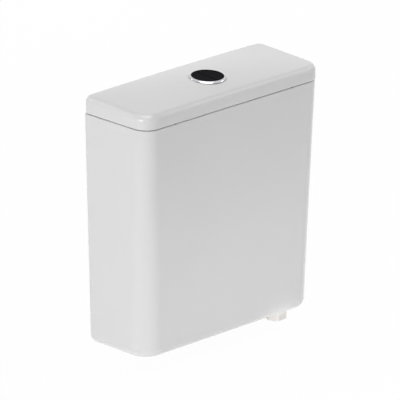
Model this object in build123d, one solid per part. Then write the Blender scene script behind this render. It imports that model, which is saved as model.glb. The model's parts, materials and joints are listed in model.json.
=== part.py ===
from build123d import *
import math
import os

# Toilet cistern for a close-coupled pan: a glazed tank and lid, a split push button, a dual flush
# valve and a bottom-entry fill valve. Millimetres, +Z up, front towards -Y, back flat towards +Y.
# The origin is on the flush outlet's axis, level with the lowest edge of the ceramic tank.

# Shared clearances
running_gap = 0.3
touch_gap = 0.05
cut_overrun = 2.0

# Tank
tank_width = 362.4
tank_depth = 133.0
tank_height = 357.8
side_taper = 6.5
front_taper = 10.0
rim_corner_r = 25.0
base_corner_r = 34.0
back_corner_r = 8.0
back_base_corner_r = 13.0
base_edge_r = 12.5
tank_wall = 9.0
rim_edge_r = 1.5
floor_thick = 12.0
outlet_offset = 4.5
recess_depth = 16.0
recess_rim = 3.0
recess_corner_r = 18.0

# Lid
lid_overhang = 0.8
lid_back_height = 27.2
lid_front_height = 22.0
lid_crown = 5.5
lid_edge_r = 10.0
lid_back_corner_r = 12.5
lid_lower_edge_r = 1.5
lid_wall = 10.0
lid_roof = 10.0
rib_clearance = 3.0
rib_wall = 5.0
rib_drop = 7.0
pad_thick = 1.2
pad_r = 3.5
pad_spacing = 240.0

# Button bezel, measured along its own axis from the flat land that is sunk in the lid's crown
button_forward = 8.3
land_depth = 1.0
land_clearance = 0.5
bezel_tube_r = 26.0
bezel_bore_r = 24.6
bezel_flange_r = 28.0
bezel_edge_height = 0.5
bezel_rise = 2.0
bezel_lip_width = 0.6
bezel_crown_share = 0.62
bezel_length = 36.0
bezel_hole_clearance = 0.7
bezel_gasket_thick = 0.8
bezel_gasket_width = 1.7
bezel_nut_r = 33.0
bezel_nut_height = 10.0
bezel_nut_lobes = 12
bezel_nut_lobe_r = 3.0
bezel_nut_clearance = 1.0
web_depth = 23.5
web_thick = 2.5

# Push buttons, rods and return springs
button_gap = 0.3
button_sink = 0.9
button_thick = 6.0
button_edge_r = 0.7
press_travel = 5.0
rod_side = 17.0
rod_forward = 6.0
rod_r = 2.5
rod_boss_r = 4.2
rod_socket_depth = 7.0
rod_nut_r = 4.6
rod_nut_height = 3.5
web_clearance = 2.2
spring_side = 9.0
spring_back = 9.0
spring_coil_r = 4.5
spring_wire_r = 0.45
spring_turns = 6
spring_stem_r = 2.8

# Flush valve body
coupling_gap = 2.0
coupling_wall = 5.2
backnut_wall = 4.5
tail_clearance = 1.5
tail_wall = 4.5
seat_wall = 3.5
tail_drop = 10.0
tail_bore_length = 40.0
valve_flange_width = 8.5
valve_flange_thick = 4.0
seat_washer_thick = 3.0
seat_height = 6.0
backnut_height = 12.5
coupling_drop = 7.0
coupling_wrap = 8.0

# Flush valve cage
cage_inset = 2.0
cage_wall = 2.5
cage_height = 60.0
cage_hoop = 4.0
cage_windows = 6
window_width_share = 0.55
post_depth = 4.0
post_width = 9.0
post_inset = 0.6
post_count = 4
deck_drop = 96.8
deck_thick = 4.0
guide_wall = 2.0
wing_length = 37.0
ear_thick = 3.0
ear_r = 5.0

# Overflow tube, seal and floats
tube_r = 11.0
tube_bore_r = 9.5
tube_above_deck = 31.0
seal_overlap = 2.5
seal_thick = 2.5
seal_plate_inset = 2.0
seal_plate_thick = 3.0
seal_hub_height = 12.0
retainer_gap = 4.0
retainer_thick = 3.5
retainer_clip_share = 0.44
collar_r = 14.5
collar_thick = 4.0
float_gap = 6.4
float_height = 45.0
float_below_deck = 61.0
float_wall = 1.5
float_hub_wall = 2.5

# Lift levers and yoke
lever_rise = 10.0
lever_rod_arm = 14.0
lever_nose_arm = 26.0
lever_thick = 4.0
lever_barrel_r = 3.8
lever_width = 10.0
lever_pad_width = 9.0
lever_pad_reach = 3.0
nose_r = 4.0
lever_pin_r = 2.0
arm_width = 8.0
arm_reach = 4.0
toe_length = 12.0
yoke_thick = 5.7
stem_gap = 8.0
stem_back = 14.0
stem_r = 2.0
stem_head_r = 4.0
stem_head_thick = 2.0
stem_length = 128.0
stem_branch_half = 4.5
half_float_width = 21.0
half_float_depth = 22.0
half_float_height = 36.0
half_float_raise = 4.0
half_float_inset = 2.5

# Fixing holes for the pan bolts
pan_bolt_inset = 19.0
pan_bolt_hole_r = 6.5

# Fill valve, below the float
inlet_side_gap = 3.7
inlet_front_gap = 9.0
platform_gap = 14.5
inlet_hole_r = 11.5
shank_r = 10.2
shank_bore_r = 7.0
filter_seat_r = 6.4
shank_tail = 24.0
shank_tail_bore = 23.0
shank_flange_r = 15.5
shank_flange_thick = 4.0
shank_washer_thick = 2.5
socket_r = 13.0
socket_height = 22.0
filter_length = 22.0
filter_wall = 1.0
filter_rings = 5
filter_slots = 8
filter_slot_share = 0.6
inlet_nut_flat = 29.0
inlet_nut_height = 20.0
inlet_nut_washer_thick = 2.0
inlet_nut_washer_r = 14.0
riser_r = 9.5
riser_bore_r = 7.5
head_drop = 72.8
lock_collar_r = 14.5
lock_collar_height = 8.0

# Fill valve, float and head
cup_r = 24.0
cup_height = 44.0
cup_wall = 1.5
cup_hub_wall = 2.0
cup_below_head = 26.0
cup_clearance = 0.5
stop_width = 3.0
stop_height = 4.0
head_r = 14.0
head_height = 17.0
head_wall = 3.0
diaphragm_r = 10.5
diaphragm_thick = 2.0
cap_height = 8.0
cap_thick = 3.0
arm_above_cap = 6.6
arm_pivot_side = 8.0
arm_rod_gap = 10.0
arm_plate_half = 1.2
arm_half_width = 4.8
arm_end_r = 2.5
arm_slot_half = 2.3
arm_press_r = 2.0
arm_ear_r = 3.2
arm_ear_thick = 2.0
arm_pin_r = 1.2
arm_boss_r = 2.8
link_rod_r = 1.8
link_collar_r = 4.5
link_collar_thick = 2.0
link_gap = 0.45
link_above = 8.0
lug_half = 4.5
lug_thick = 6.0
plunger_r = 2.0
plunger_head_r = 3.5
plunger_head_thick = 1.5
plunger_lift = 3.0

# Levels and places that follow from the sizes above
back_y = tank_wall + (tank_depth - front_taper - 2 * tank_wall) / 2 + outlet_offset
rim_front_y = back_y - tank_depth
base_front_y = rim_front_y + front_taper
inlet_x = tank_width / 2 - side_taper - tank_wall - inlet_side_gap - cup_r
inlet_y = base_front_y + tank_wall + inlet_front_gap + cup_r
recess_half_length = inlet_x - shank_flange_r - platform_gap - floor_thick
recess_front_y = base_front_y + base_edge_r + recess_rim
recess_back_y = back_y - base_edge_r - recess_rim
pan_bolt_side = recess_half_length - pan_bolt_inset
coupling_r = -recess_front_y - coupling_gap
backnut_r = coupling_r - coupling_wall - running_gap
tail_r = backnut_r - backnut_wall
outlet_hole_r = tail_r + tail_clearance
outlet_bore_r = tail_r - tail_wall
seat_bore_r = tail_r - seat_wall
valve_flange_r = tail_r + valve_flange_width
cage_r = valve_flange_r - cage_inset
stem_side = cage_r + stem_gap
seal_r = tail_r + seal_overlap
seal_plate_r = seal_r - seal_plate_inset
retainer_r = seat_bore_r - retainer_gap
seal_hole_r = tube_bore_r + (retainer_r - tube_bore_r) * retainer_clip_share
float_r = cage_r - post_inset - post_depth - float_gap
platform_z = recess_depth + floor_thick
seat_washer_z = platform_z + seat_washer_thick
flange_top_z = seat_washer_z + valve_flange_thick
seat_z = flange_top_z + seat_height
cage_top_z = flange_top_z + cage_height
deck_z = tank_height - deck_drop
float_top_z = deck_z - deck_thick - float_below_deck
pivot_z = deck_z + lever_rise
yoke_z = pivot_z + nose_r + running_gap
yoke_top_z = yoke_z + yoke_thick
collar_z = yoke_top_z + running_gap
pivot_x = rod_side + lever_rod_arm
nose_x = pivot_x + lever_nose_arm
lid_z = tank_height + pad_thick
lid_depth = tank_depth + lid_overhang
lid_half_width = tank_width / 2 + lid_overhang
lid_front_y = back_y - lid_depth
lid_slope = (lid_back_height - lid_front_height) / lid_depth
lid_middle_y = (back_y + lid_front_y) / 2
button_y = lid_middle_y - button_forward
button_crown = lid_crown * (1 - (2 * button_forward / lid_depth) ** 2)
button_z = lid_z + lid_back_height - lid_slope * (back_y - button_y) + button_crown - land_depth
button_slope = lid_slope + 2 * lid_crown * button_forward / (lid_depth / 2) ** 2
button_angle = math.degrees(math.atan(button_slope))
button_r = bezel_bore_r - running_gap
button_top = bezel_gasket_thick + bezel_edge_height + bezel_rise - button_sink
button_low = button_top - button_thick
boss_low = press_travel + web_clearance + rod_nut_height - web_depth
head_z = tank_height - head_drop
cap_z = head_z + head_height
arm_z = cap_z + cap_height + arm_above_cap
arm_rod_side = cup_r + arm_rod_gap
arm_pivot_x = inlet_x - arm_pivot_side
arm_rod_x = inlet_x - arm_rod_side
cup_top_z = head_z - cup_below_head
cup_low_z = cup_top_z - cup_height

button_place = Location((0, button_y, button_z), (button_angle, 0, 0))


# Small builders shared by all pieces

def ring(outer_r, inner_r, low, high):
    """Plain ring about the Z axis between two levels."""
    return Pos(0, 0, low) * extrude(Circle(outer_r) - Circle(inner_r), high - low)


def disc(radius, low, high):
    """Plain cylinder about the Z axis between two levels."""
    return Pos(0, 0, low) * extrude(Circle(radius), high - low)


def block(x_low, x_high, y_low, y_high, z_low, z_high):
    """Box between two corners."""
    middle = ((x_low + x_high) / 2, (y_low + y_high) / 2, (z_low + z_high) / 2)
    return Pos(*middle) * Box(x_high - x_low, y_high - y_low, z_high - z_low)


def rod_along_y(radius, x, z, y_low, y_high):
    """Cylinder that lies along Y."""
    return Pos(x, (y_low + y_high) / 2, z) * Rot(90, 0, 0) * Cylinder(radius, y_high - y_low)


def outline(half_width, front, back, front_r, back_r, level):
    """Rounded rectangle seen from above, as a face at a level."""
    right_front = (half_width - front_r, front + front_r)
    right_back = (half_width - back_r, back - back_r)
    left_back = (back_r - half_width, back - back_r)
    left_front = (front_r - half_width, front + front_r)
    edges = [
        Line((left_front[0], front), (right_front[0], front)),
        CenterArc(right_front, front_r, 270, 90),
        Line((half_width, right_front[1]), (half_width, right_back[1])),
        CenterArc(right_back, back_r, 0, 90),
        Line((right_back[0], back), (left_back[0], back)),
        CenterArc(left_back, back_r, 90, 90),
        Line((-half_width, left_back[1]), (-half_width, left_front[1])),
        CenterArc(left_front, front_r, 180, 90),
    ]
    return Pos(0, 0, level) * make_face(edges)


# Ceramic pieces

def tank_outline(level, inset, behind=0):
    """Outline of the tank at a level, moved inwards by an inset, its back moved out by a margin."""
    share = level / tank_height
    half_width = tank_width / 2 - side_taper * (1 - share) - inset
    front = rim_front_y + front_taper * (1 - share) + inset
    front_r = max(base_corner_r + (rim_corner_r - base_corner_r) * share - inset, tank_wall / 2)
    back_r = max(back_base_corner_r + (back_corner_r - back_base_corner_r) * share - inset, tank_wall / 2)
    return outline(half_width, front, back_y - inset + behind, front_r, back_r, level)


def make_tank():
    """Tapered tank with a raised floor over the recess that takes the outlet and the pan bolts."""
    body = loft([tank_outline(0, 0, touch_gap), tank_outline(tank_height, 0, touch_gap)], ruled=True)
    body = fillet(body.edges().group_by(Axis.Z)[0], base_edge_r)
    body = fillet(body.edges().group_by(Axis.Z)[-1], rim_edge_r)
    body -= block(-tank_width / 2, tank_width / 2, back_y, back_y + cut_overrun, 0, tank_height)
    cavity = loft(
        [tank_outline(floor_thick, tank_wall), tank_outline(tank_height, tank_wall)],
        ruled=True,
    )
    cavity = fillet(cavity.edges().group_by(Axis.Z)[0], min(base_edge_r - tank_wall, tank_wall / 2))
    platform_half = recess_half_length + floor_thick
    platform = block(-platform_half, platform_half, rim_front_y, back_y, 0, platform_z)
    recess_r = recess_corner_r
    recess_face = outline(recess_half_length, recess_front_y, recess_back_y, recess_r, recess_r, 0)
    recess = extrude(recess_face, recess_depth)
    holes = disc(outlet_hole_r, 0, platform_z)
    for side in (-1, 1):
        holes += Pos(side * pan_bolt_side, 0, 0) * disc(pan_bolt_hole_r, 0, platform_z)
    holes += Pos(inlet_x, inlet_y, 0) * disc(inlet_hole_r, 0, floor_thick)
    return body - (cavity - platform) - recess - holes


def crown_spread(half):
    """Control heights of a parabola that is 1 in the middle and 0 at half the size, a little past it."""
    end = 1 - ((half + cut_overrun) / half) ** 2
    return end, 2 - end, end


def crowned_block(drop):
    """Everything under the lid's crowned top, lowered by a drop."""
    across = crown_spread(lid_half_width)
    along = crown_spread(lid_depth / 2)
    rows = []
    for side, share in zip((-1, 0, 1), across):
        x = side * (lid_half_width + cut_overrun)
        row = []
        for end, height in zip((-1, 0, 1), along):
            y = lid_middle_y + end * (lid_depth / 2 + cut_overrun)
            z = lid_z + lid_back_height - lid_slope * (back_y - y) - drop
            row.append((x, y, z + lid_crown * share * height))
        rows.append(row)
    return extrude(Face.make_bezier_surface(rows), 2 * lid_back_height, dir=(0, 0, -1))


def make_lid():
    """Hollow lid with a crowned top that falls to the front, a locating rib and the button hole."""
    corner_r = rim_corner_r + lid_overhang
    plan_face = outline(lid_half_width, lid_front_y, back_y, corner_r, lid_back_corner_r, lid_z)
    plan = extrude(plan_face, lid_back_height + lid_crown)
    body = plan & crowned_block(0)
    body = fillet(body.edges().group_by(Axis.Z)[0], lid_lower_edge_r)
    upper = body.faces().sort_by(Axis.Z)[-1]
    body = fillet(upper.edges(), lid_edge_r)
    hollow_face = outline(lid_half_width - lid_wall, lid_front_y + lid_wall, back_y - lid_wall,
                          corner_r - lid_wall, lid_wall / 2, lid_z)
    body -= extrude(hollow_face, lid_back_height + lid_crown) & crowned_block(lid_roof)
    rib_inset = tank_wall + rib_clearance
    rib_height = lid_back_height + lid_crown
    rib = extrude(tank_outline(tank_height, rib_inset), rib_height)
    rib -= extrude(tank_outline(tank_height, rib_inset + rib_wall), rib_height)
    body += (Pos(0, 0, -rib_drop) * rib) & crowned_block(lid_roof / 2)
    land = disc(bezel_flange_r + land_clearance, 0, land_depth + cut_overrun)
    hole = disc(bezel_tube_r + bezel_hole_clearance, -lid_back_height, 0)
    nut_room = disc(bezel_nut_r + bezel_nut_clearance, -lid_back_height - rib_drop, land_depth - lid_roof)
    return body - button_place * (land + hole + nut_room)


def make_lid_pads():
    """Rubber buffers between the rim and the lid."""
    pads = []
    for x in (-pad_spacing / 2, pad_spacing / 2):
        for y in (rim_front_y + tank_wall / 2, back_y - tank_wall / 2):
            pads.append(Pos(x, y, 0) * disc(pad_r, tank_height, lid_z))
    return Compound(pads)


# Button set, built about its own axis and then tilted onto the lid

def make_bezel():
    """Crowned ring with a threaded tube below it and a web that carries the springs."""
    low = bezel_gasket_thick
    edge_top = low + bezel_edge_height
    lip_r = bezel_bore_r + bezel_lip_width
    top = edge_top + bezel_rise
    crown = ((bezel_flange_r + lip_r) / 2, edge_top + bezel_rise * bezel_crown_share)
    section = [
        Polyline((bezel_bore_r, top), (bezel_bore_r, -bezel_length), (bezel_tube_r, -bezel_length),
                 (bezel_tube_r, low), (bezel_flange_r, low), (bezel_flange_r, edge_top)),
        ThreePointArc((bezel_flange_r, edge_top), crown, (lip_r, top)),
        Line((lip_r, top), (bezel_bore_r, top)),
    ]
    bezel = revolve(Plane.XZ * make_face(section), Axis.Z)
    web = disc(bezel_bore_r, -web_depth - web_thick, -web_depth)
    for side in (-1, 1):
        hole = disc(rod_r + running_gap, -web_depth - web_thick, -web_depth)
        web -= Pos(side * rod_side, -rod_forward, 0) * hole
    return bezel + web


def make_bezel_gasket():
    """Thin foam ring under the bezel's flange."""
    inner = bezel_tube_r + touch_gap
    return ring(inner + bezel_gasket_width, inner, 0, bezel_gasket_thick)


def make_bezel_nut():
    """Finger nut with scallops that pulls the bezel down from inside the lid."""
    top = land_depth - lid_roof
    low = top - bezel_nut_height
    nut = ring(bezel_nut_r, bezel_tube_r + touch_gap, low, top)
    for turn in range(bezel_nut_lobes):
        angle = math.radians(360 * turn / bezel_nut_lobes)
        place = Pos(bezel_nut_r * math.cos(angle), bezel_nut_r * math.sin(angle), 0)
        nut -= place * disc(bezel_nut_lobe_r, low, top)
    return nut


def make_button(side):
    """Half disc with a boss for the push rod and a stem that centres the spring."""
    half = disc(button_r, button_low, button_top)
    reach = button_r + cut_overrun
    half -= block(min(side * button_gap, -side * reach), max(side * button_gap, -side * reach),
                  -reach, reach, button_low, button_top)
    half = fillet(half.edges().group_by(Axis.Z)[-1], button_edge_r)
    rod_place = Pos(side * rod_side, -rod_forward, 0)
    half += rod_place * disc(rod_boss_r, boss_low, button_low)
    half -= rod_place * disc(rod_r + touch_gap, boss_low, boss_low + rod_socket_depth)
    return half + Pos(side * spring_side, spring_back, 0) * disc(spring_stem_r, boss_low, button_low)


def rod_foot():
    """Distance of the rod's round tip down the button axis, and its depth in the tank's frame."""
    slope = math.radians(button_angle)
    centre_z = pivot_z + running_gap + rod_r
    along = (centre_z - button_z + rod_forward * math.sin(slope)) / math.cos(slope)
    y = button_y - rod_forward * math.cos(slope) - along * math.sin(slope)
    return along, y


def make_push_rod(side):
    """Rod from the button's boss to the lever, with a round tip."""
    foot, foot_y = rod_foot()
    rod = disc(rod_r, foot, boss_low + rod_socket_depth) + Pos(0, 0, foot) * Sphere(rod_r)
    return Pos(side * rod_side, -rod_forward, 0) * rod


def make_rod_nut(side):
    """Hexagonal lock nut under the button's boss."""
    flat = RegularPolygon(rod_nut_r, 6) - Circle(rod_r + touch_gap)
    return Pos(side * rod_side, -rod_forward, boss_low - rod_nut_height) * extrude(flat, rod_nut_height)


def make_spring(side):
    """Helical spring between the web and the button."""
    low = -web_depth + running_gap + spring_wire_r
    high = button_low - running_gap - spring_wire_r
    path = Helix((high - low) / spring_turns, high - low, spring_coil_r)
    start = Plane(path @ 0, z_dir=path % 0)
    coil = sweep(start * Circle(spring_wire_r), path, is_frenet=True)
    return Pos(side * spring_side, spring_back, low) * coil


# Flush valve, fixed pieces

def make_valve_base():
    """Threaded tail, flange and the raised seat that the seal closes."""
    base = ring(tail_r, outlet_bore_r, -tail_drop, tail_bore_length - tail_drop)
    base += ring(tail_r, seat_bore_r, tail_bore_length - tail_drop, seat_z)
    base += ring(valve_flange_r, tail_r, seat_washer_z, flange_top_z)
    return base


def make_seat_washer():
    """Rubber washer between the valve flange and the raised floor."""
    return ring(valve_flange_r, tail_r + touch_gap, platform_z, seat_washer_z)


def make_backnut():
    """Octagonal plastic nut under the recess, on the tail."""
    plate = RegularPolygon(backnut_r, 8) - Circle(tail_r + touch_gap)
    return Pos(0, 0, recess_depth - backnut_height) * extrude(plate, backnut_height)


def make_coupling_gasket():
    """Tapered sponge ring between tank and pan, wrapped round the nut."""
    nut_low = recess_depth - backnut_height - running_gap
    top = nut_low + coupling_wrap
    section = Polyline(
        (tail_r + running_gap, -coupling_drop), (backnut_r, -coupling_drop), (coupling_r, nut_low),
        (coupling_r, top), (backnut_r + running_gap, top), (backnut_r + running_gap, nut_low),
        (tail_r + running_gap, nut_low), close=True)
    return revolve(Plane.XZ * make_face(section), Axis.Z)


def make_cage():
    """Windowed ring on the valve flange that lets the water in round the seat."""
    inner = cage_r - cage_wall
    cage = ring(cage_r, inner, flange_top_z, cage_top_z)
    chord = 2 * math.pi * cage_r / cage_windows * window_width_share
    for turn in range(cage_windows):
        slot = block(inner / 2, cage_r + cut_overrun, -chord / 2, chord / 2, flange_top_z + cage_hoop,
                     cage_top_z - cage_hoop)
        cage -= Rot(0, 0, 360 * turn / cage_windows) * slot
    return cage


def make_cage_posts():
    """Posts from the cage up to the deck, round the full flush float."""
    outer = cage_r - post_inset
    posts = []
    for turn in range(post_count):
        post = block(outer - post_depth, outer, -post_width / 2, post_width / 2, cage_top_z,
                     deck_z - deck_thick)
        posts.append(Rot(0, 0, 360 * (turn + 1 / 2) / post_count) * post)
    return Compound(posts)


def make_valve_deck():
    """Deck on the posts, with the tube's guide and the ears that carry the levers."""
    foot_y = rod_foot()[1]
    front = foot_y - lever_pad_width / 2 - running_gap - ear_thick
    back = lever_width / 2 + running_gap + ear_thick
    cage = disc(cage_r, deck_z - deck_thick, deck_z)
    cage += block(-wing_length, wing_length, front, back, deck_z - deck_thick, deck_z)
    cage += disc(tube_r + running_gap + guide_wall, deck_z, yoke_z)
    cage -= disc(tube_r + running_gap, deck_z - deck_thick, yoke_z)
    for side in (-1, 1):
        for y_low in (front, back - ear_thick):
            ear = rod_along_y(ear_r, side * pivot_x, pivot_z, y_low, y_low + ear_thick)
            middle = side * pivot_x
            ear += block(middle - ear_r, middle + ear_r, y_low, y_low + ear_thick, deck_z, pivot_z)
            cage += ear
        cage -= rod_along_y(lever_pin_r + touch_gap, side * pivot_x, pivot_z, front, back)
    return cage


def make_lever_pins():
    """Pins that carry the two levers between the ears."""
    foot_y = rod_foot()[1]
    front = foot_y - lever_pad_width / 2 - running_gap - ear_thick
    back = lever_width / 2 + running_gap + ear_thick
    return Compound([rod_along_y(lever_pin_r, side * pivot_x, pivot_z, front, back) for side in (-1, 1)])


def make_lever(side):
    """Rocker: the rod presses its pad down and its round nose lifts."""
    foot_y = rod_foot()[1]
    pad_front = foot_y - lever_pad_width / 2
    pad_back = foot_y + lever_pad_width / 2
    back = lever_width / 2
    lever = rod_along_y(lever_barrel_r, pivot_x, pivot_z, pad_front, back)
    lever += block(rod_side - lever_pad_reach, pivot_x, pad_front, pad_back, pivot_z - lever_thick, pivot_z)
    half_thick = lever_thick / 2
    lever += block(pivot_x, nose_x, -arm_width / 2, back, pivot_z - half_thick, pivot_z + half_thick)
    lever += rod_along_y(nose_r, nose_x, pivot_z, -arm_width / 2, back)
    lever -= rod_along_y(lever_pin_r + running_gap, pivot_x, pivot_z, pad_front, back)
    return lever if side > 0 else mirror(lever, Plane.YZ)


# Flush valve, lifting pieces

def make_overflow_tube():
    """Straight tube from the seal up through the deck."""
    return ring(tube_r, tube_bore_r, seat_z + seal_thick, deck_z + tube_above_deck)


def make_seal_plate():
    """Plate on the tube's foot that presses the seal down."""
    low = seat_z + seal_thick
    bore = tube_r + touch_gap
    plate = ring(seal_plate_r, bore, low, low + seal_plate_thick)
    return plate + ring(tube_r + float_hub_wall, bore, low, low + seal_hub_height)


def make_lift_collar():
    """Collar on the tube with the arm that the full lever lifts."""
    top = collar_z + collar_thick
    reach = nose_x + arm_reach
    collar = disc(collar_r, collar_z, top)
    collar += block(0, reach, -arm_width / 2, arm_width / 2, collar_z, top)
    collar += block(reach - toe_length, reach, -arm_width / 2, arm_width / 2, yoke_z, collar_z)
    return collar - disc(tube_r + touch_gap, collar_z, top)


def make_flush_seal():
    """Soft sealing ring that closes the seat."""
    return ring(seal_r, seal_hole_r, seat_z, seat_z + seal_thick)


def make_seal_retainer():
    """Snap ring that holds the seal against the tube's foot."""
    low = seat_z - retainer_thick
    return ring(retainer_r, tube_bore_r, low, seat_z) + ring(seal_hole_r - touch_gap, tube_bore_r, seat_z,
                                                              seat_z + seal_thick)


def make_full_float():
    """Inverted cup on the overflow tube that keeps the valve open for a full flush."""
    low = float_top_z - float_height
    high = float_top_z
    cup = ring(float_r, float_r - float_wall, low, high)
    cup += ring(float_r, tube_r + touch_gap, high - float_wall, high)
    return cup + ring(tube_r + float_hub_wall, tube_r + touch_gap, low, high)


def make_lift_yoke():
    """Ring under the tube's collar, with the arm that the half lever lifts and a branch for the stem."""
    reach = nose_x + arm_reach
    ring_face = Circle(collar_r) + Pos(-reach / 2, 0) * Rectangle(reach, arm_width)
    branch_back = stem_back + stem_branch_half
    ring_face += Pos(-stem_side, branch_back / 2) * Rectangle(2 * stem_branch_half, branch_back)
    ring_face -= Circle(tube_r + running_gap)
    ring_face -= Pos(-stem_side, stem_back) * Circle(stem_r + touch_gap)
    return Pos(0, 0, yoke_z) * extrude(ring_face, yoke_thick)


def make_half_float_stem():
    """Stem that hangs the half flush float from the yoke."""
    stem = disc(stem_r, yoke_z - stem_length, yoke_top_z)
    stem += disc(stem_head_r, yoke_top_z, yoke_top_z + stem_head_thick)
    return Pos(-stem_side, stem_back, 0) * stem


def make_half_float():
    """Small inverted cup on the stem that shortens the half flush."""
    low = yoke_z - stem_length + half_float_raise
    high = low + half_float_height
    x_high = -stem_side + half_float_inset
    x_low = x_high - half_float_width
    y_low = stem_back - half_float_depth / 2
    y_high = stem_back + half_float_depth / 2
    cup = block(x_low, x_high, y_low, y_high, low, high)
    cup -= block(x_low + float_wall, x_high - float_wall, y_low + float_wall, y_high - float_wall, low,
                 high - float_wall)
    sleeve = disc(stem_r + float_hub_wall, low, high)
    cup += Pos(-stem_side, stem_back, 0) * sleeve
    return cup - Pos(-stem_side, stem_back, 0) * disc(stem_r + touch_gap, low, high)


# Fill valve, built about the inlet's axis and then moved there

inlet_place = Pos(inlet_x, inlet_y, 0)
shank_flange_z = floor_thick + shank_washer_thick
socket_z = shank_flange_z + shank_flange_thick
socket_top_z = socket_z + socket_height


def make_shank():
    """Threaded inlet tail, flange and the socket that takes the riser."""
    bore_step = shank_tail_bore - shank_tail
    shank = ring(shank_r, shank_bore_r, -shank_tail, bore_step)
    shank += ring(shank_r, filter_seat_r, bore_step, socket_z)
    shank += ring(shank_flange_r, filter_seat_r, shank_flange_z, socket_z)
    shank += ring(socket_r, riser_r + touch_gap, socket_z, socket_top_z)
    return inlet_place * shank


def make_filter():
    """Slotted debris strainer inside the shank."""
    bore_step = shank_tail_bore - shank_tail
    outer = filter_seat_r - touch_gap
    strainer = ring(outer, outer - filter_wall, bore_step, bore_step + filter_length)
    strainer += disc(outer, bore_step + filter_length - filter_wall, bore_step + filter_length)
    pitch = (filter_length - filter_wall) / filter_rings
    width = 2 * math.pi * outer / filter_slots * filter_slot_share
    for row in range(filter_rings):
        low = bore_step + row * pitch + filter_wall
        for turn in range(filter_slots):
            high = low + pitch - filter_wall
            slot = block(outer / 2, outer + cut_overrun, -width / 2, width / 2, low, high)
            strainer -= Rot(0, 0, 360 * turn / filter_slots) * slot
    return inlet_place * strainer


def make_shank_washer():
    """Rubber washer between the shank's flange and the floor."""
    return inlet_place * ring(shank_flange_r, shank_r + touch_gap, floor_thick, shank_flange_z)


def make_inlet_nut_washer():
    """Flat washer between the inlet nut and the underside."""
    return inlet_place * ring(inlet_nut_washer_r, shank_r + touch_gap, -inlet_nut_washer_thick, 0)


def make_inlet_nut():
    """White hexagonal nut that holds the inlet from below."""
    top = -inlet_nut_washer_thick
    low = top - inlet_nut_height
    corner_r = inlet_nut_flat / 2 / math.cos(math.radians(30))
    nut = extrude(RegularPolygon(corner_r, 6) - Circle(shank_r + touch_gap), inlet_nut_height)
    return inlet_place * Pos(0, 0, low) * nut


def make_riser():
    """Supply tube up to the valve head, with the ledge that the float rests on."""
    riser = ring(riser_r, riser_bore_r, socket_z, head_z)
    return inlet_place * (riser + ring(riser_r + stop_width, riser_r, cup_low_z - stop_height, cup_low_z))


def make_lock_collar():
    """Ribbed collar that locks the riser in its socket."""
    high = socket_top_z + lock_collar_height
    return inlet_place * ring(lock_collar_r, riser_r + touch_gap, socket_top_z, high)


def make_head():
    """Valve chamber on top of the riser."""
    head = disc(head_r, head_z, cap_z) - disc(riser_bore_r, head_z, cap_z)
    return inlet_place * (head - disc(diaphragm_r, cap_z - diaphragm_thick, cap_z))


def make_diaphragm():
    """Rubber disc that opens and closes the flow."""
    return inlet_place * disc(diaphragm_r - touch_gap, cap_z - diaphragm_thick, cap_z)


def make_cap():
    """Cap over the diaphragm, with the ears that carry the float arm."""
    top = cap_z + cap_height
    cap = disc(head_r, cap_z, top) - disc(head_r - head_wall, cap_z, top - cap_thick)
    cap -= disc(plunger_r + running_gap, cap_z, top)
    cap = inlet_place * cap
    for side in (-1, 1):
        inner = inlet_y + side * (arm_half_width + running_gap)
        outer = inner + side * arm_ear_thick
        y_low = min(inner, outer)
        y_high = max(inner, outer)
        ear = rod_along_y(arm_ear_r, arm_pivot_x, arm_z, y_low, y_high)
        ear += block(arm_pivot_x - arm_ear_r, arm_pivot_x + arm_ear_r, y_low, y_high, top, arm_z)
        cap += ear
    reach = arm_half_width + running_gap + arm_ear_thick
    return cap - rod_along_y(arm_pin_r + touch_gap, arm_pivot_x, arm_z, inlet_y - reach, inlet_y + reach)


def make_arm_pin():
    """Pin that carries the float arm."""
    reach = arm_half_width + running_gap + arm_ear_thick
    return rod_along_y(arm_pin_r, arm_pivot_x, arm_z, inlet_y - reach, inlet_y + reach)


def make_float_arm():
    """Forked arm: the float lifts its long end and its short end presses the plunger."""
    front = inlet_y - arm_half_width
    back = inlet_y + arm_half_width
    arm = block(arm_rod_x, inlet_x, front, back, arm_z - arm_plate_half, arm_z + arm_plate_half)
    arm += rod_along_y(arm_end_r, arm_rod_x, arm_z, front, back)
    arm += rod_along_y(arm_press_r, inlet_x, arm_z, front, back)
    arm += rod_along_y(arm_boss_r, arm_pivot_x, arm_z, front, back)
    slot_start = arm_rod_x - arm_end_r - cut_overrun
    slot_end = arm_rod_x + link_collar_r + arm_end_r
    arm -= block(slot_start, slot_end, inlet_y - arm_slot_half, inlet_y + arm_slot_half, arm_z - arm_end_r,
                 arm_z + arm_end_r)
    return arm - rod_along_y(arm_pin_r + running_gap, arm_pivot_x, arm_z, front, back)


def make_plunger():
    """Pin through the cap that the arm presses onto the diaphragm."""
    head_top = arm_z - arm_press_r - running_gap
    pin = disc(plunger_r, cap_z + plunger_lift, head_top)
    return inlet_place * (pin + disc(plunger_head_r, head_top - plunger_head_thick, head_top))


def make_fill_float():
    """Inverted cup that slides on the riser, with the lug for the adjusting rod."""
    bore = riser_r + cup_clearance
    cup = ring(cup_r, cup_r - cup_wall, cup_low_z, cup_top_z)
    cup += ring(cup_r, bore, cup_top_z - cup_wall, cup_top_z)
    cup += ring(bore + cup_hub_wall, bore, cup_low_z, cup_top_z)
    lug_z = cup_top_z - lug_thick
    lug = block(-arm_rod_side - lug_half, -cup_r + cup_wall, -lug_half, lug_half, lug_z, cup_top_z)
    cup += lug - disc(cup_r - cup_wall, lug_z, cup_top_z)
    rod_hole = Pos(-arm_rod_side, 0, 0) * disc(link_rod_r + touch_gap, lug_z, cup_top_z)
    return inlet_place * (cup - rod_hole)


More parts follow.
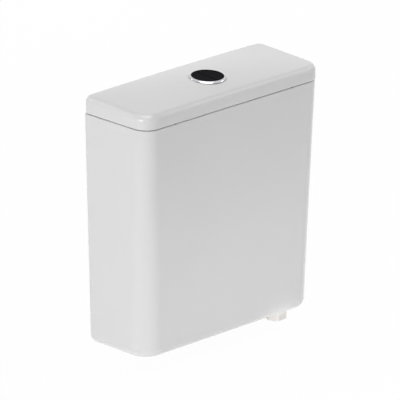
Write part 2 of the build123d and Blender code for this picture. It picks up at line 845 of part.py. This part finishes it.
def make_adjusting_rod():
    """Rod from the float to the arm's fork, with a collar each side of the fork."""
    rod = disc(link_rod_r, cup_top_z - lug_thick, arm_z + link_above)
    upper = arm_z + arm_end_r + link_gap
    lower = arm_z - arm_end_r - link_gap
    rod += disc(link_collar_r, upper, upper + link_collar_thick)
    rod += disc(link_collar_r, lower - link_collar_thick, lower)
    return Pos(arm_rod_x, inlet_y, 0) * rod


parts = {
    "tank": make_tank(),
    "lid": make_lid(),
    "lid_pads": make_lid_pads(),
    "button_bezel": button_place * make_bezel(),
    "bezel_gasket": button_place * make_bezel_gasket(),
    "bezel_nut": button_place * make_bezel_nut(),
    "flush_valve_base": make_valve_base(),
    "seat_washer": make_seat_washer(),
    "flush_valve_backnut": make_backnut(),
    "coupling_gasket": make_coupling_gasket(),
    "valve_cage": make_cage(),
    "cage_posts": make_cage_posts(),
    "valve_deck": make_valve_deck(),
    "lever_pins": make_lever_pins(),
    "overflow_tube": make_overflow_tube(),
    "seal_plate": make_seal_plate(),
    "lift_collar": make_lift_collar(),
    "flush_seal": make_flush_seal(),
    "seal_retainer": make_seal_retainer(),
    "full_flush_float": make_full_float(),
    "lift_yoke": make_lift_yoke(),
    "half_float_stem": make_half_float_stem(),
    "half_flush_float": make_half_float(),
    "inlet_shank": make_shank(),
    "inlet_filter": make_filter(),
    "shank_washer": make_shank_washer(),
    "inlet_nut_washer": make_inlet_nut_washer(),
    "inlet_nut": make_inlet_nut(),
    "fill_riser": make_riser(),
    "riser_lock_collar": make_lock_collar(),
    "fill_valve_head": make_head(),
    "fill_diaphragm": make_diaphragm(),
    "fill_valve_cap": make_cap(),
    "arm_pin": make_arm_pin(),
    "float_arm": make_float_arm(),
    "fill_plunger": make_plunger(),
    "fill_float": make_fill_float(),
    "adjusting_rod": make_adjusting_rod(),
}
for side, flush in ((1, "full"), (-1, "half")):
    parts[flush + "_flush_button"] = button_place * make_button(side)
    parts[flush + "_push_rod"] = button_place * make_push_rod(side)
    parts[flush + "_rod_nut"] = button_place * make_rod_nut(side)
    parts[flush + "_return_spring"] = button_place * make_spring(side)
    parts[flush + "_flush_lever"] = make_lever(side)

os.makedirs("parts", exist_ok=True)
for name, shape in parts.items():
    export_step(shape, "parts/" + name + ".step")
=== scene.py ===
import json
import math
import bmesh
import bpy
from mathutils import Matrix, Vector


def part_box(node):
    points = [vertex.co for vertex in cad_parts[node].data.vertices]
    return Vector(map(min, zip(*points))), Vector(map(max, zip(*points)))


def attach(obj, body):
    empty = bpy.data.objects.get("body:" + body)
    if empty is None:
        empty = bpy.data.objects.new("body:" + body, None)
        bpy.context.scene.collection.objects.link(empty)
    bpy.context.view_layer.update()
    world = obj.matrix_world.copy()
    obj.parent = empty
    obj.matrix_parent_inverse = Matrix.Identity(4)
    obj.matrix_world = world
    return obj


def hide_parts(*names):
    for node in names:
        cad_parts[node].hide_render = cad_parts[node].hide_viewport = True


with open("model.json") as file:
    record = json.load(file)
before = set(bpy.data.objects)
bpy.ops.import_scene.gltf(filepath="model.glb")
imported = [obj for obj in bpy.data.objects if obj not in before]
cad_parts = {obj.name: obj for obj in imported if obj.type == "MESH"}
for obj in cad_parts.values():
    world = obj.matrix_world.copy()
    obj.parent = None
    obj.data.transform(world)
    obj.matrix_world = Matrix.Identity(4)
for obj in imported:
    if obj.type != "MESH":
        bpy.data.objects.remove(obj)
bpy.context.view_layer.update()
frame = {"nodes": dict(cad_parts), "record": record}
nodes = frame["nodes"]
node_body = {node: body for body, held in frame["record"]["behaviour"]["bodies"].items() for node in held}
node_slot = {row["node"]: row["material_slot"] for row in frame["record"]["subparts"]}
mounts = {mount["name"]: mount for mount in frame["record"]["mounts"]}

MM = 0.001

# Driving sizes of the lid and its button, in millimetres
back_y = 66.0
lid_depth = 133.8
lid_z = 359.0
lid_back_height = 27.2
lid_front_height = 22.0
lid_crown = 5.5
button_forward = 8.3
land_depth = 1.0

# Level of the floor, where the inlet tail ends, in millimetres
floor_z = -24.0

# Copying of solids: doubles this near are merged (mm), faces this level are joined, edges over the bevel
# angle are eased, and shading breaks over the shading angle (degrees)
merge_distance = 0.002
level_angle = 0.2
bevel_angle = 38
shading_angle = 32
bevel_segments = 2

# Height and slope of the crowned lid where the button's land is cut
lid_slope = (lid_back_height - lid_front_height) / lid_depth
button_y = back_y - lid_depth / 2 - button_forward
button_crown = lid_crown * (1 - (2 * button_forward / lid_depth) ** 2)
button_z = lid_z + lid_back_height - lid_slope * (back_y - button_y) + button_crown - land_depth
button_angle = math.atan(lid_slope + 8 * lid_crown * button_forward / lid_depth ** 2)
button_axis = Matrix.Translation((0, button_y * MM, button_z * MM)) @ Matrix.Rotation(button_angle, 4, "X")

# The two tails stand upright on the axes of their mounts
inlet_axis = Matrix.Translation((*mounts["water_inlet"]["pos_m"][:2], 0))
outlet_axis = Matrix.Translation((*mounts["outlet"]["pos_m"][:2], 0))


# Small tools

def linear(colour):
    """Linear RGBA of an sRGB hex colour."""
    parts = [int(colour[k:k + 2], 16) / 255 for k in (0, 2, 4)]
    return [c / 12.92 if c <= 0.04045 else ((c + 0.055) / 1.055) ** 2.4 for c in parts] + [1.0]


def every(size):
    """Scale of a pattern that repeats about every so many millimetres."""
    return 1 / (size * MM)


def add(tree, kind, values=None, links=None, **settings):
    """Adds a node with its settings, its sockets' values and the links into it."""
    node = tree.nodes.new(kind)
    for key, value in settings.items():
        setattr(node, key, value)
    for key, value in (values or {}).items():
        node.inputs[key].default_value = value
    for key, source in (links or {}).items():
        tree.links.new(source, node.inputs[key])
    return node


def finish_of(name):
    """Empty material, its node tree, and the place on the piece in metres."""
    material = bpy.data.materials.new(name)
    material.use_nodes = True
    tree = material.node_tree
    tree.nodes.clear()
    place = add(tree, "ShaderNodeTexCoord").outputs["Object"]
    return material, tree, place


# Materials. On a mix of two colours, sockets 6 and 7 are the colours and output 2 is the result.

def vitreous_china():
    """Vitreous china, slip-cast, sprayed with a clear-white glaze and fired: a deep gloss that flows a
    little, with soft orange peel, a faint drift of tone, and bare biscuit where it stood in the kiln. The
    biscuit's grit is really about a fifth of a millimetre and is drawn coarser, so that it shows."""
    material, tree, place = finish_of("glazed_vitreous_china")
    drift = add(tree, "ShaderNodeTexNoise", {"Scale": every(110), "Detail": 2.0}, {"Vector": place})
    glaze = add(tree, "ShaderNodeMix", {6: linear("F1F0F0"), 7: linear("EDECED")},
                {0: drift.outputs["Fac"]}, data_type="RGBA")
    high = add(tree, "ShaderNodeSeparateXYZ", None, {"Vector": place})
    foot = add(tree, "ShaderNodeMapRange",
               {"From Min": 0.6 * MM, "From Max": 1.8 * MM, "To Min": 1.0, "To Max": 0.0},
               {"Value": high.outputs["Z"]})
    grit = add(tree, "ShaderNodeTexNoise", {"Scale": every(1.1), "Detail": 3.0}, {"Vector": place})
    colour = add(tree, "ShaderNodeMix", {7: linear("DDD8CD")},
                 {0: foot.outputs["Result"], 6: glaze.outputs[2]}, data_type="RGBA")
    gloss = add(tree, "ShaderNodeMapRange", {"To Min": 0.10, "To Max": 0.17},
                {"Value": drift.outputs["Fac"]})
    rough = add(tree, "ShaderNodeMath", {1: 0.55}, {0: foot.outputs["Result"], 2: gloss.outputs["Result"]},
                operation="MULTIPLY_ADD")
    flow = add(tree, "ShaderNodeTexNoise", {"Scale": every(70), "Detail": 1.0}, {"Vector": place})
    peel = add(tree, "ShaderNodeTexNoise", {"Scale": every(3.0), "Detail": 2.0}, {"Vector": place})
    wave = add(tree, "ShaderNodeBump", {"Strength": 0.35, "Distance": 1.2 * MM},
               {"Height": flow.outputs["Fac"]})
    skin = add(tree, "ShaderNodeBump", {"Strength": 0.25, "Distance": 0.06 * MM},
               {"Height": peel.outputs["Fac"], "Normal": wave.outputs["Normal"]})
    biscuit = add(tree, "ShaderNodeBump", {"Distance": 0.2 * MM},
                  {"Strength": foot.outputs["Result"], "Height": grit.outputs["Fac"],
                   "Normal": skin.outputs["Normal"]})
    shader = add(tree, "ShaderNodeBsdfPrincipled",
                 {"IOR": 1.52, "Coat Weight": 0.35, "Coat Roughness": 0.06, "Coat IOR": 1.5},
                 {"Base Color": colour.outputs[2], "Roughness": rough.outputs[0],
                  "Normal": biscuit.outputs["Normal"]})
    add(tree, "ShaderNodeOutputMaterial", None, {"Surface": shader.outputs["BSDF"]})
    return material


def plated_chrome():
    """Chrome on ABS that was polished before plating: a bright mirror with wiping marks as fine as a hair,
    drawn at 2.4 mm, so that they show."""
    material, tree, place = finish_of("chrome_plated_abs")
    wipe = add(tree, "ShaderNodeTexNoise", {"Scale": every(2.4), "Detail": 4.0, "Distortion": 0.6},
               {"Vector": place})
    rough = add(tree, "ShaderNodeMapRange", {"To Min": 0.05, "To Max": 0.11},
                {"Value": wipe.outputs["Fac"]})
    tint = add(tree, "ShaderNodeMix", {6: linear("C9CACC"), 7: linear("C2C3C6")}, {0: wipe.outputs["Fac"]},
               data_type="RGBA")
    skin = add(tree, "ShaderNodeBump", {"Strength": 0.1, "Distance": 0.02 * MM},
               {"Height": wipe.outputs["Fac"]})
    shader = add(tree, "ShaderNodeBsdfPrincipled", {"Metallic": 1.0},
                 {"Base Color": tint.outputs[2], "Roughness": rough.outputs["Result"],
                  "Normal": skin.outputs["Normal"]})
    add(tree, "ShaderNodeOutputMaterial", None, {"Surface": shader.outputs["BSDF"]})
    return material


def moulded(name, colours, gloss, grain, depth, ior=1.5, level=0.5, coat=0.0, sheen=0.0):
    """Moulded piece: two close tones that drift over 26 mm, a gloss between two values, and the tool's
    grain as bump, with its size and depth in millimetres. The real grain of a moulding tool is about a
    tenth of a millimetre and is drawn coarser, so that it shows."""
    material, tree, place = finish_of(name)
    cloud = add(tree, "ShaderNodeTexNoise", {"Scale": every(26), "Detail": 3.0}, {"Vector": place})
    fine = add(tree, "ShaderNodeTexNoise", {"Scale": every(grain), "Detail": 3.0, "Roughness": 0.6},
               {"Vector": place})
    tone = add(tree, "ShaderNodeMix", {6: linear(colours[0]), 7: linear(colours[1])},
               {0: cloud.outputs["Fac"]}, data_type="RGBA")
    rough = add(tree, "ShaderNodeMapRange", {"To Min": gloss[0], "To Max": gloss[1]},
                {"Value": fine.outputs["Fac"]})
    skin = add(tree, "ShaderNodeBump", {"Strength": 0.5, "Distance": depth * MM},
               {"Height": fine.outputs["Fac"]})
    shader = add(tree, "ShaderNodeBsdfPrincipled",
                 {"IOR": ior, "Specular IOR Level": level, "Coat Weight": coat, "Coat Roughness": 0.05,
                  "Sheen Weight": sheen},
                 {"Base Color": tone.outputs[2], "Roughness": rough.outputs["Result"],
                  "Normal": skin.outputs["Normal"]})
    add(tree, "ShaderNodeOutputMaterial", None, {"Surface": shader.outputs["BSDF"]})
    return material


def drawn_steel():
    """Stainless spring wire pulled through a die: grey metal with streaks 17 mm long, drawn 1.1 mm wide,
    so that they show."""
    material, tree, place = finish_of("drawn_stainless_wire")
    stretched = add(tree, "ShaderNodeMapping", {"Scale": (every(17), every(1.1), every(1.1))},
                    {"Vector": place})
    streak = add(tree, "ShaderNodeTexNoise", {"Scale": 1.0, "Detail": 3.0},
                 {"Vector": stretched.outputs[0]})
    rough = add(tree, "ShaderNodeMapRange", {"To Min": 0.18, "To Max": 0.36},
                {"Value": streak.outputs["Fac"]})
    tone = add(tree, "ShaderNodeMix", {6: linear("C9CACB"), 7: linear("A9ABAD")},
               {0: streak.outputs["Fac"]}, data_type="RGBA")
    shader = add(tree, "ShaderNodeBsdfPrincipled", {"Metallic": 1.0},
                 {"Base Color": tone.outputs[2], "Roughness": rough.outputs["Result"]})
    add(tree, "ShaderNodeOutputMaterial", None, {"Surface": shader.outputs["BSDF"]})
    return material


finishes = {
    "glazed_ceramic": vitreous_china(),
    "bright_chrome": plated_chrome(),
    # Near-black button: the near-black colour is a painted dark reflection, standing for the dark surround
    # that the polished button mirrors; its own specular is off, and a faint clear coat gives a thin
    # reflection
    "black_button": moulded("black_button_painted_reflection", ("17171A", "1B1B1E"), (0.25, 0.35), 3.8, 0.01,
                            level=0.0, coat=0.05),
    # Natural-white polypropylene: satin, a shade warm, from a spark-eroded tool
    "white_plastic": moulded("white_polypropylene", ("F2EFEE", "ECE8E6"), (0.34, 0.46), 0.7, 0.03,
                             ior=1.49),
    # Acetal: a little waxy, with a soft gloss where it slides
    "grey_plastic": moulded("grey_acetal", ("B3B7BC", "A6AAB0"), (0.32, 0.44), 0.8, 0.03, ior=1.48),
    # Blown polypropylene, tinted blue through
    "blue_plastic": moulded("blue_polypropylene", ("3E6FA8", "35629A"), (0.30, 0.42), 0.8, 0.03, ior=1.49),
    # Moulded EPDM rubber: matt, with a grey bloom
    "black_rubber": moulded("black_epdm_rubber", ("161616", "202020"), (0.55, 0.75), 0.6, 0.05, ior=1.52),
    # Closed-cell sponge with cells of half a millimetre, cut edges slightly furred
    "grey_foam": moulded("closed_cell_foam", ("3A3A3C", "2C2C2E"), (0.80, 0.95), 0.5, 0.25, sheen=0.2),
    # Nylon washer, cream-white and plain
    "fibre": moulded("nylon_washer", ("DEDCD4", "D5D2C8"), (0.40, 0.55), 0.7, 0.04, ior=1.53),
    "steel": drawn_steel(),
    # Unfilled nylon, milky where it is thin
    "filter_mesh": moulded("natural_nylon", ("D9D8D0", "CFCDC4"), (0.38, 0.50), 0.7, 0.03, ior=1.53),
}


# Pieces

def place_on_body(obj, body, slot, *replaced):
    """Gives a piece its finish, if it has none, its body and the nodes that it stands for."""
    if not obj.data.materials:
        obj.data.materials.append(finishes[slot])
    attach(obj, body)
    if replaced:
        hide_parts(*replaced)


def settle(obj):
    """Turns a piece's modifiers into its mesh."""
    bpy.context.view_layer.update()
    made = bpy.data.meshes.new_from_object(obj.evaluated_get(bpy.context.evaluated_depsgraph_get()))
    obj.modifiers.clear()
    obj.data = made


def smooth(mesh):
    """Smooth shading that stops at edges sharper than the shading angle."""
    mesh.polygons.foreach_set("use_smooth", [True] * len(mesh.polygons))
    mesh.set_sharp_from_angle(angle=math.radians(shading_angle))


def new_piece(name, mesh):
    """Object for a mesh that is already in place."""
    obj = bpy.data.objects.new(name, mesh)
    bpy.context.scene.collection.objects.link(obj)
    return obj


def worked(node, name, bevel):
    """Copy of a node's solid with its seams merged, its edges eased by a small radius and even normals."""
    source = nodes[node].data
    mesh = bpy.data.meshes.new(name)
    mesh.from_pydata([v.co[:] for v in source.vertices], [], [p.vertices[:] for p in source.polygons])
    work = bmesh.new()
    work.from_mesh(mesh)
    bmesh.ops.remove_doubles(work, verts=work.verts, dist=merge_distance * MM)
    bmesh.ops.dissolve_limit(work, angle_limit=math.radians(level_angle), verts=work.verts,
                             edges=work.edges)
    work.to_mesh(mesh)
    work.free()
    smooth(mesh)
    obj = new_piece(name, mesh)
    if bevel:
        edge = obj.modifiers.new("eased", "BEVEL")
        edge.width = bevel * MM
        edge.segments = bevel_segments
        edge.limit_method = "ANGLE"
        edge.angle_limit = math.radians(bevel_angle)
        edge.use_clamp_overlap = True
    even = obj.modifiers.new("even", "WEIGHTED_NORMAL")
    even.keep_sharp = True
    settle(obj)
    obj.data.materials.clear()
    place_on_body(obj, node_body[node], node_slot[node], node)


# Radius that eases each piece's edges, in millimetres: a moulding's corner is never sharp. The two ceramic
# pieces and the ring have their rounding in the solid already, so they only lose their seams.
eased = {
    "tank": 0.0, "lid": 0.0, "button_bezel": 0.0, "flush_valve_base": 0.35, "flush_valve_backnut": 0.6,
    "valve_cage": 0.4, "cage_posts": 0.5, "valve_deck": 0.4, "overflow_tube": 0.25, "lift_collar": 0.5,
    "lift_yoke": 0.5, "full_flush_float": 0.4, "half_flush_float": 0.5, "inlet_shank": 0.35,
    "inlet_nut": 1.1, "inlet_nut_washer": 0.3, "fill_valve_head": 0.5, "fill_valve_cap": 0.35,
    "fill_float": 0.4, "float_arm": 0.3, "full_flush_lever": 0.4, "half_flush_lever": 0.4,
    "coupling_gasket": 0.8, "bezel_nut": 0.5, "full_rod_nut": 0.25, "half_rod_nut": 0.25,
    "seal_retainer": 0.3, "seal_plate": 0.3, "fill_riser": 0.25, "riser_lock_collar": 0.4,
}


def growing_tree(name, sizes):
    """Geometry Nodes tree with a named input for each size, and its inputs' sockets."""
    tree = bpy.data.node_groups.new(name, "GeometryNodeTree")
    tree.interface.new_socket("Geometry", in_out="INPUT", socket_type="NodeSocketGeometry")
    for size, value in sizes.items():
        kind = "NodeSocketInt" if isinstance(value, int) else "NodeSocketFloat"
        socket = tree.interface.new_socket(size, in_out="INPUT", socket_type=kind)
        socket.default_value = value
    tree.interface.new_socket("Finish", in_out="INPUT", socket_type="NodeSocketMaterial")
    tree.interface.new_socket("Geometry", in_out="OUTPUT", socket_type="NodeSocketGeometry")
    return tree, add(tree, "NodeGroupInput").outputs


def end_tree(tree, given, shape):
    """Ends a tree with real geometry in its finish."""
    real = add(tree, "GeometryNodeRealizeInstances", None, {"Geometry": shape})
    dressed = add(tree, "GeometryNodeSetMaterial", None,
                  {"Geometry": real.outputs[0], "Material": given["Finish"]})
    add(tree, "NodeGroupOutput", None, {0: dressed.outputs[0]})
    return tree


def screw_thread():
    """Ridge of a screw thread, wound round the Z axis from a level upwards, with sizes in metres."""
    tree, given = growing_tree("screw_thread", {"Core": 0.01, "Pitch": 0.002, "Turns": 4.0,
                                                "Crest": 0.0005, "Level": 0.0, "Steps": 32})
    height = add(tree, "ShaderNodeMath", None, {0: given["Pitch"], 1: given["Turns"]},
                 operation="MULTIPLY")
    path = add(tree, "GeometryNodeCurveSpiral", None,
               {"Resolution": given["Steps"], "Rotations": given["Turns"], "Start Radius": given["Core"],
                "End Radius": given["Core"], "Height": height.outputs[0]})
    upright = add(tree, "GeometryNodeSetCurveNormal", None, {"Curve": path.outputs[0]}, mode="Z_UP")
    ridge = add(tree, "GeometryNodeCurvePrimitiveCircle", {"Resolution": 4}, {"Radius": given["Crest"]},
                mode="RADIUS")
    wound = add(tree, "GeometryNodeCurveToMesh", {"Fill Caps": True},
                {"Curve": upright.outputs[0], "Profile Curve": ridge.outputs[0]})
    lift = add(tree, "ShaderNodeCombineXYZ", None, {"Z": given["Level"]})
    placed = add(tree, "GeometryNodeTransform", None,
                 {"Geometry": wound.outputs[0], "Translation": lift.outputs[0]})
    return end_tree(tree, given, placed.outputs[0])


def ring_of_ribs():
    """Upright grip ribs set round the Z axis, with sizes in metres."""
    tree, given = growing_tree("ring_of_ribs", {"Count": 24, "Radius": 0.014, "Depth": 0.001,
                                                "Width": 0.001, "Height": 0.008, "Level": 0.0})
    ring = add(tree, "GeometryNodeMeshCircle", None,
               {"Vertices": given["Count"], "Radius": given["Radius"]}, fill_type="NONE")
    size = add(tree, "ShaderNodeCombineXYZ", None,
               {"X": given["Depth"], "Y": given["Width"], "Z": given["Height"]})
    rib = add(tree, "GeometryNodeMeshCube", None, {"Size": size.outputs[0]})
    index = add(tree, "GeometryNodeInputIndex")
    share = add(tree, "ShaderNodeMath", None, {0: index.outputs[0], 1: given["Count"]}, operation="DIVIDE")
    angle = add(tree, "ShaderNodeMath", {1: math.tau}, {0: share.outputs[0]}, operation="MULTIPLY")
    turn = add(tree, "ShaderNodeCombineXYZ", None, {"Z": angle.outputs[0]})
    spread = add(tree, "GeometryNodeInstanceOnPoints", None,
                 {"Points": ring.outputs[0], "Instance": rib.outputs[0], "Rotation": turn.outputs[0]})
    lift = add(tree, "ShaderNodeCombineXYZ", None, {"Z": given["Level"]})
    placed = add(tree, "GeometryNodeTransform", None,
                 {"Geometry": spread.outputs[0], "Translation": lift.outputs[0]})
    return end_tree(tree, given, placed.outputs[0])


thread_tree = screw_thread()
rib_tree = ring_of_ribs()


def grown(tree, name, sizes, axis, beside):
    """Plain mesh that a tree makes about an axis, on the body and in the finish of a node beside it."""
    obj = new_piece(name, bpy.data.meshes.new(name))
    rule = obj.modifiers.new("rule", "NODES")
    rule.node_group = tree
    names = {item.name: item.identifier for item in tree.interface.items_tree if item.in_out == "INPUT"}
    for size, value in sizes.items():
        rule[names[size]] = value
    rule[names["Finish"]] = finishes[node_slot[beside]]
    settle(obj)
    obj.data.transform(axis)
    smooth(obj.data)
    place_on_body(obj, node_body[beside], node_slot[beside])


def threads():
    """Screw threads of the two tails, which show below their nuts and run a little way up, and of the
    button's tube below its nut."""
    steps_a_turn = 64
    rows = {
        # name: node, axis, core radius, pitch, lowest level, highest level and crest in millimetres
        "shank_tail_thread": ("inlet_shank", inlet_axis, 10.2, 1.8, -23.5, -20.8, 0.45),
        "flush_tail_thread": ("flush_valve_base", outlet_axis, 29.5, 2.6, -9.1, -5.2, 0.8),
        "bezel_thread": ("button_bezel", button_axis, 26.0, 2.5, -35.0, -20.5, 0.5),
    }
    for name, (node, axis, core, pitch, low, high, crest) in rows.items():
        sizes = {"Core": core * MM, "Pitch": pitch * MM, "Turns": (high - low) / pitch, "Crest": crest * MM,
                 "Level": low * MM, "Steps": steps_a_turn}
        grown(thread_tree, name, sizes, axis, node)


def grips():
    """Grip ribs round the collar and the cap that fingers turn, a little above each one's foot."""
    foot = 0.8
    rows = {
        # name: node, count, then radius of the ring, depth, width and height of a rib in millimetres
        "lock_collar_ribs": ("riser_lock_collar", 24, 14.5, 1.4, 1.5, 6.4),
        "fill_cap_ribs": ("fill_valve_cap", 20, 14.0, 1.2, 1.4, 5.6),
    }
    for name, (node, count, radius, depth, width, height) in rows.items():
        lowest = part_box(node)[0][2]
        sizes = {"Count": count, "Radius": radius * MM, "Depth": depth * MM, "Width": width * MM,
                 "Height": height * MM, "Level": lowest + (foot + height / 2) * MM}
        grown(rib_tree, name, sizes, inlet_axis, node)


for node, bevel in eased.items():
    worked(node, node + "_finished", bevel)
threads()
grips()
for node, obj in nodes.items():
    if node not in eased:
        obj.data.materials.clear()
        obj.data.materials.append(finishes[node_slot[node]])


# Floor, lights, world and camera

def white_to_the_eye(tree, share):
    """Share of white that a surface shows to rays that look at it, mirror it or pass through glass."""
    ray = add(tree, "ShaderNodeLightPath")
    glossy = add(tree, "ShaderNodeMath", None,
                 {0: ray.outputs["Is Camera Ray"], 1: ray.outputs["Is Glossy Ray"]}, operation="MAXIMUM")
    seen = add(tree, "ShaderNodeMath", None,
               {0: glossy.outputs[0], 1: ray.outputs["Is Transmission Ray"]}, operation="MAXIMUM")
    return add(tree, "ShaderNodeMath", {1: share}, {0: seen.outputs[0]}, operation="MULTIPLY").outputs[0]


def lay_floor():
    """Pale paper floor that shows nearly white, keeps the shadow, and is clear from below."""
    half = 9.0
    glow_on_the_object = 0.13
    white_share = 0.97
    low = floor_z * MM
    mesh = bpy.data.meshes.new("floor")
    mesh.from_pydata([(-half, -half, low), (half, -half, low), (half, half, low), (-half, half, low)], [],
                     [(0, 1, 2, 3)])
    floor = new_piece("floor", mesh)
    material = bpy.data.materials.new("white_paper_floor")
    material.use_nodes = True
    tree = material.node_tree
    tree.nodes.clear()
    paper = add(tree, "ShaderNodeBsdfDiffuse", {"Color": linear("F4F4F4")})
    glow = add(tree, "ShaderNodeEmission", {"Color": linear("FFFFFF"), "Strength": glow_on_the_object})
    lit = add(tree, "ShaderNodeAddShader", None, {0: paper.outputs[0], 1: glow.outputs[0]})
    bright = add(tree, "ShaderNodeEmission", {"Color": linear("FFFFFF"), "Strength": 1.0})
    top = add(tree, "ShaderNodeMixShader", None,
              {0: white_to_the_eye(tree, white_share), 1: lit.outputs[0], 2: bright.outputs[0]})
    clear = add(tree, "ShaderNodeBsdfTransparent")
    side = add(tree, "ShaderNodeNewGeometry")
    whole = add(tree, "ShaderNodeMixShader", None,
                {0: side.outputs["Backfacing"], 1: top.outputs[0], 2: clear.outputs[0]})
    add(tree, "ShaderNodeOutputMaterial", None, {"Surface": whole.outputs[0]})
    mesh.materials.append(material)


def surround():
    """World that shows white and lights the object only a little."""
    light_on_the_object = 0.03
    world = bpy.data.worlds.new("studio_surround")
    bpy.context.scene.world = world
    world.use_nodes = True
    tree = world.node_tree
    tree.nodes.clear()
    dim = add(tree, "ShaderNodeBackground", {"Color": linear("FFFFFF"), "Strength": light_on_the_object})
    white = add(tree, "ShaderNodeBackground", {"Color": linear("FFFFFF"), "Strength": 1.0})
    both = add(tree, "ShaderNodeMixShader", None,
               {0: white_to_the_eye(tree, 1.0), 1: dim.outputs[0], 2: white.outputs[0]})
    add(tree, "ShaderNodeOutputWorld", None, {"Surface": both.outputs[0]})


def hang(light, where, target, power, mirrored):
    """Hangs a lamp that the camera does not see and aims it."""
    light.energy = power
    lamp = bpy.data.objects.new(light.name, light)
    bpy.context.scene.collection.objects.link(lamp)
    lamp.location = where
    lamp.rotation_euler = (Vector(target) - Vector(where)).to_track_quat("-Z", "Y").to_euler()
    lamp.visible_camera = False
    lamp.visible_glossy = mirrored


def hang_lamps():
    """Soft lamps round the object. The strips are there for the light lines on the lid's edges, and the
    snoot for the nut, which the tank shades."""
    middle = (0, 0, 0.2)
    front_foot = (0, -0.068, 0.12)
    back_middle = (0, 0, 0.3)
    nut = (0.138, -0.015, -0.02)
    rows = {
        # name: place, width, height and target in metres, power in watts, whether gloss mirrors it
        "overhead": ((-0.3, -0.3, 2.6), 1.8, 1.8, middle, 24.5, True),
        "left": ((-2.6, -0.6, 0.3), 1.2, 1.0, middle, 33.5, True),
        "front_right": ((1.75, -0.85, 1.9), 1.6, 1.4, middle, 13.5, False),
        "ridge_strip": ((1.65, -0.90, 1.7), 1.6, 0.28, middle, 3.0, True),
        "front_strip": ((0.0, -0.42, 0.0), 0.7, 0.02, front_foot, 0.28, False),
        "end_strip": ((-0.9, 1.9, 1.85), 1.2, 0.3, back_middle, 3.2, True),
        "behind": ((1.0, 2.6, 1.0), 1.4, 1.2, middle, 26.0, False),
        "right": ((2.6, 0.6, 0.8), 1.4, 1.2, middle, 8.0, False),
    }
    for name, (where, width, height, target, power, mirrored) in rows.items():
        light = bpy.data.lights.new(name, "AREA")
        light.shape = "RECTANGLE"
        light.size = width
        light.size_y = height
        hang(light, where, target, power, mirrored)
    snoot = bpy.data.lights.new("snoot_on_the_nut", "SPOT")
    snoot.spot_size = math.radians(5)
    snoot.spot_blend = 1.0
    snoot.shadow_soft_size = 0.03
    hang(snoot, (-0.35, -0.62, -0.006), nut, 15.0, False)


def place_camera():
    """Long lens at the photograph's viewing angle, left of the front and above, aimed near the middle."""
    turn = math.radians(-44.49)
    rise = math.radians(19.36)
    distance = 9.90
    focal_length = 603.0
    middle = Vector((0, -1.0, 193.0))
    shift_left = 5.26
    shift_up = 2.16
    back = Vector((math.sin(turn) * math.cos(rise), -math.cos(turn) * math.cos(rise), math.sin(rise)))
    right = Vector((math.cos(turn), math.sin(turn), 0))
    up = back.cross(right)
    aim = middle * MM - right * shift_left * MM + up * shift_up * MM
    lens = bpy.data.cameras.new("camera")
    lens.sensor_width = 36.0
    lens.lens = focal_length
    lens.clip_start = 0.1
    lens.clip_end = 60.0
    obj = bpy.data.objects.new("camera", lens)
    bpy.context.scene.collection.objects.link(obj)
    obj.location = aim + back * distance
    obj.rotation_euler = (-back).to_track_quat("-Z", "Y").to_euler()
    bpy.context.scene.camera = obj


lay_floor()
surround()
hang_lamps()
place_camera()
bpy.context.scene.view_settings.view_transform = "Standard"
